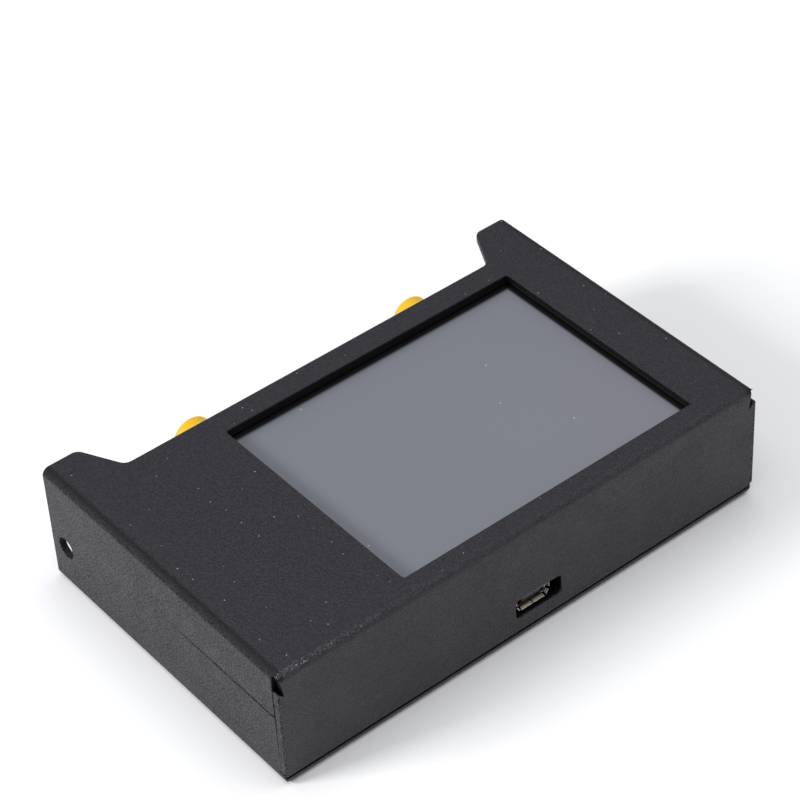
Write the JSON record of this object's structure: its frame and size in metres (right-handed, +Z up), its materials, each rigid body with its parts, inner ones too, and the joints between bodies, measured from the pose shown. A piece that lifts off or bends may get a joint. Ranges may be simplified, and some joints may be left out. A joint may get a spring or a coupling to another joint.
{
  "type": "vector network analyzer",
  "caption": "Handheld vector network analyzer: folded black steel case with a recessed touch screen, lanyard ears, front charging slot, and rear coaxial ports under yellow caps.",
  "frame": {"origin": "centre of the case's flat bottom face, midway between the side walls and midway between the front wall and the top plate's rear edge", "axes": "+X to the right along the front wall, +Y from the front wall towards the wall with the coaxial ports, +Z up through the screen"},
  "size_m": [0.0988, 0.0647, 0.0234],
  "materials": {
    "black_powder_coat": "fine black powder coat on folded steel",
    "screen_film": "unlit screen under a resistive touch film",
    "lcd_glass": "bare display glass",
    "tinned_steel": "tin-plated pressed steel",
    "zinc_steel": "zinc-plated machine screws",
    "brass": "machined brass",
    "gold_plate": "gold-plated brass",
    "ptfe": "white fluoropolymer",
    "black_foam": "black foam seal",
    "battery_foil": "silver laminated pouch",
    "solder_mask": "green solder mask on glass-epoxy board",
    "chip_epoxy": "black moulded epoxy",
    "black_nylon": "black moulded nylon",
    "white_nylon": "natural moulded nylon",
    "key_plastic": "black moulded key",
    "yellow_polyethylene": "yellow moulded polyethylene",
    "polyimide_film": "amber flexible circuit film",
    "red_pvc": "red wire jacket",
    "black_pvc": "black wire jacket"
  },
  "bodies": {
    "case": {"case_shell": "black_powder_coat", "rear_panel": "black_powder_coat", "touch_panel": "screen_film", "window_gasket": "black_foam", "lcd_panel": "lcd_glass", "lcd_backlight": "tinned_steel", "display_board": "solder_mask", "display_flex": "polyimide_film", "display_header": "black_nylon", "display_socket": "black_nylon", "main_board": "solder_mask", "processor_chip": "chip_epoxy", "synthesizer_chip_left": "chip_epoxy", "synthesizer_chip_right": "chip_epoxy", "shield_can_left": "tinned_steel", "shield_can_right": "tinned_steel", "battery_cell": "battery_foil", "battery_plug": "white_nylon", "battery_socket": "white_nylon", "battery_lead_red": "red_pvc", "battery_lead_black": "black_pvc", "usb_shell": "tinned_steel", "usb_insulator": "black_nylon", "power_switch_body": "tinned_steel", "lower_standoff_front_left": "brass", "upper_standoff_front_left": "brass", "bottom_screw_front_left": "zinc_steel", "display_screw_front_left": "zinc_steel", "lower_standoff_rear_left": "brass", "upper_standoff_rear_left": "brass", "bottom_screw_rear_left": "zinc_steel", "display_screw_rear_left": "zinc_steel", "lower_standoff_front_right": "brass", "upper_standoff_front_right": "brass", "bottom_screw_front_right": "zinc_steel", "display_screw_front_right": "zinc_steel", "lower_standoff_rear_right": "brass", "upper_standoff_rear_right": "brass", "bottom_screw_rear_right": "zinc_steel", "display_screw_rear_right": "zinc_steel", "port_body_left": "gold_plate", "port_insulator_left": "ptfe", "port_contact_left": "gold_plate", "port_washer_left": "gold_plate", "port_nut_left": "gold_plate", "port_body_right": "gold_plate", "port_insulator_right": "ptfe", "port_contact_right": "gold_plate", "port_washer_right": "gold_plate", "port_nut_right": "gold_plate", "key_switch_left": "black_nylon", "key_switch_middle": "black_nylon", "key_switch_right": "black_nylon"},
    "key_left": {"key_left": "key_plastic"},
    "key_middle": {"key_middle": "key_plastic"},
    "key_right": {"key_right": "key_plastic"},
    "power_slider": {"power_slider": "black_nylon"},
    "dust_cap_left": {"dust_cap_left": "yellow_polyethylene"},
    "dust_cap_right": {"dust_cap_right": "yellow_polyethylene"}
  },
  "joints": [
    {"name": "key_left_press", "type": "slide", "parent": "case", "child": "key_left", "axis": [0, -1, 0], "range_m": [0, 0.0004], "stiffness_N_per_m": 300},
    {"name": "key_middle_press", "type": "slide", "parent": "case", "child": "key_middle", "axis": [0, -1, 0], "range_m": [0, 0.0004], "stiffness_N_per_m": 300},
    {"name": "key_right_press", "type": "slide", "parent": "case", "child": "key_right", "axis": [0, -1, 0], "range_m": [0, 0.0004], "stiffness_N_per_m": 300},
    {"name": "power_slide", "type": "slide", "parent": "case", "child": "power_slider", "axis": [1, 0, 0], "range_m": [0, 0.002]},
    {"name": "dust_cap_left_pull", "type": "slide", "parent": "case", "child": "dust_cap_left", "axis": [0, 1, 0], "range_m": [0, 0.012]},
    {"name": "dust_cap_right_pull", "type": "slide", "parent": "case", "child": "dust_cap_right", "axis": [0, 1, 0], "range_m": [0, 0.012]}
  ]
}
